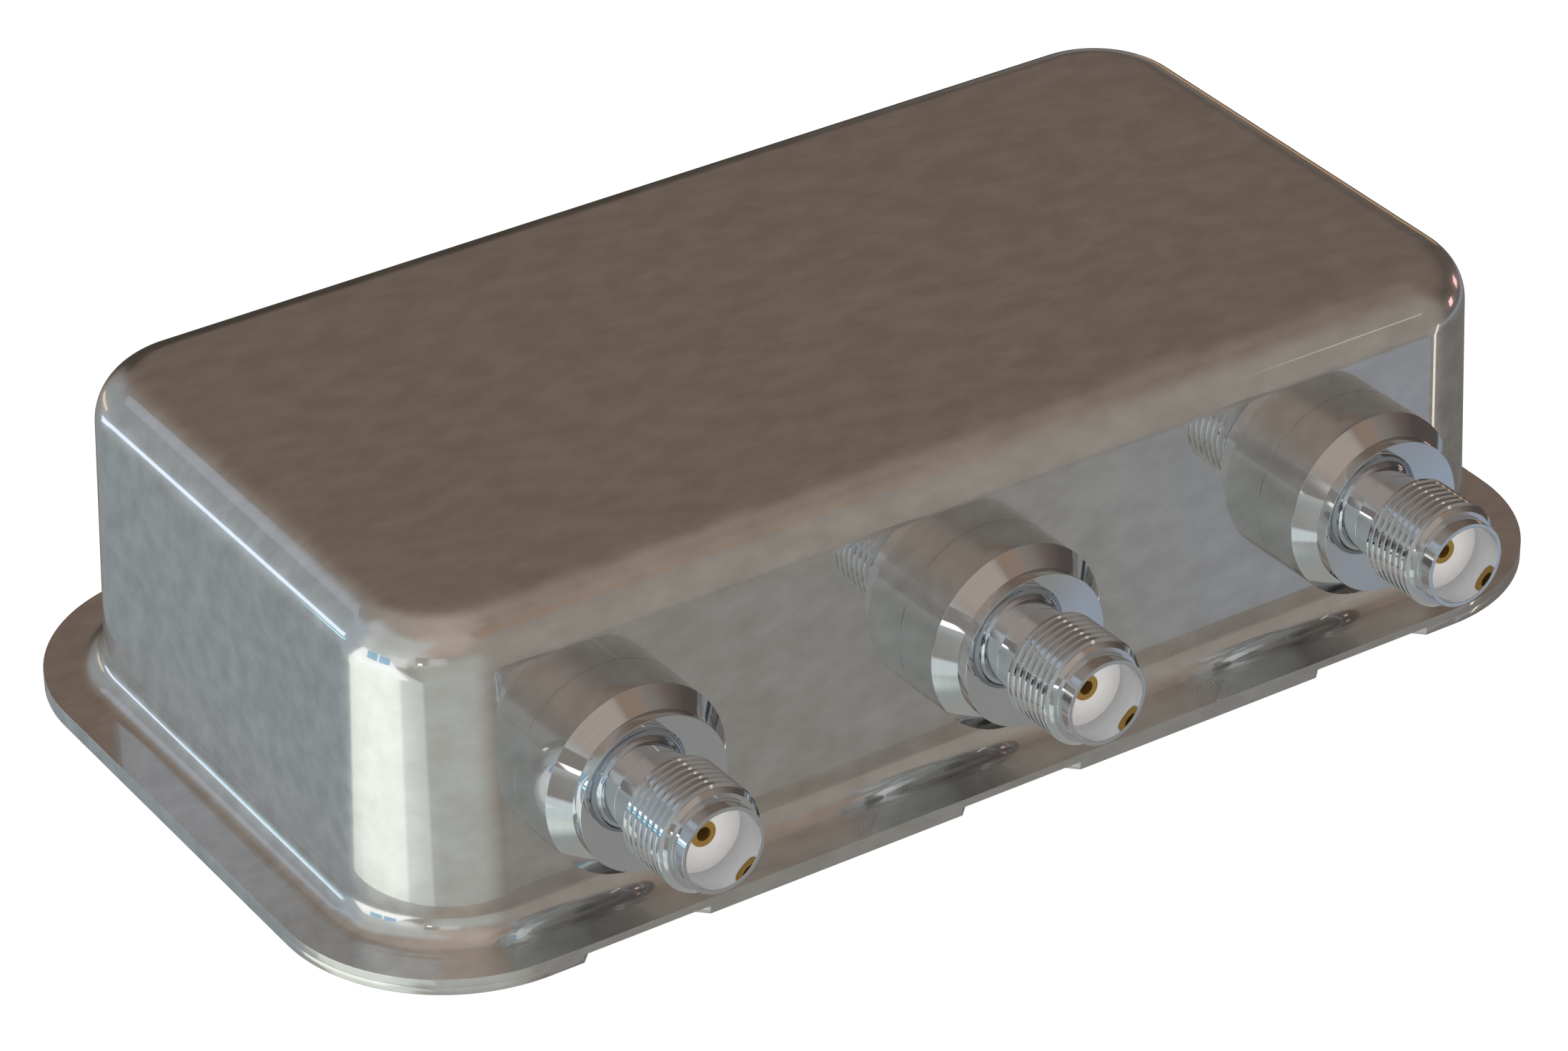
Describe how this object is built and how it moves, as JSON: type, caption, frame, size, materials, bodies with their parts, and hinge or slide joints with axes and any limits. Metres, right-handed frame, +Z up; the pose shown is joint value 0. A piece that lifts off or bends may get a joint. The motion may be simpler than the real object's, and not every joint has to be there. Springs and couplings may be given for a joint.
{
  "type": "coaxial diplexer",
  "caption": "Sealed drawn-metal frequency splitter with a flanged base and a row of threaded coaxial jacks along its front wall.",
  "frame": {"origin": "middle of the base plate's underside, under the middle of the can", "axes": "+X along the length, jacks on the -Y side, +Z up out of the base plate"},
  "size_m": [0.0818, 0.054, 0.02],
  "materials": {
    "can_steel": "tin-plated drawn steel, bright with a cloudy bloom",
    "base_steel": "tin-plated sheet steel",
    "jack_metal": "passivated stainless steel, turned and polished",
    "insulator": "white fluoropolymer, turned",
    "contact_gold": "gold-plated copper alloy",
    "solder": "bright tin solder",
    "board_laminate": "glass-filled laminate, coated",
    "pillar_brass": "turned brass",
    "screw_steel": "zinc-plated steel",
    "screen_tinplate": "tinplate",
    "ferrite": "pressed ferrite",
    "enamelled_wire": "enamelled copper wire",
    "chip_ceramic": "fired ceramic with tinned ends"
  },
  "bodies": {
    "root": {"housing_can": "can_steel", "base_plate": "base_steel", "jack_body_1": "jack_metal", "jack_insulator_1": "insulator", "centre_contact_1": "contact_gold", "jack_body_2": "jack_metal", "jack_insulator_2": "insulator", "centre_contact_2": "contact_gold", "jack_body_3": "jack_metal", "jack_insulator_3": "insulator", "centre_contact_3": "contact_gold", "jack_solder_rings": "solder", "filter_board": "board_laminate", "board_pillars": "pillar_brass", "board_screws": "screw_steel", "screen_wall": "screen_tinplate", "lowpass_coil_cores": "ferrite", "lowpass_coil_windings": "enamelled_wire", "highpass_coil_cores": "ferrite", "highpass_coil_windings": "enamelled_wire", "lowpass_capacitors": "chip_ceramic", "highpass_capacitors": "chip_ceramic"}
  },
  "joints": []
}
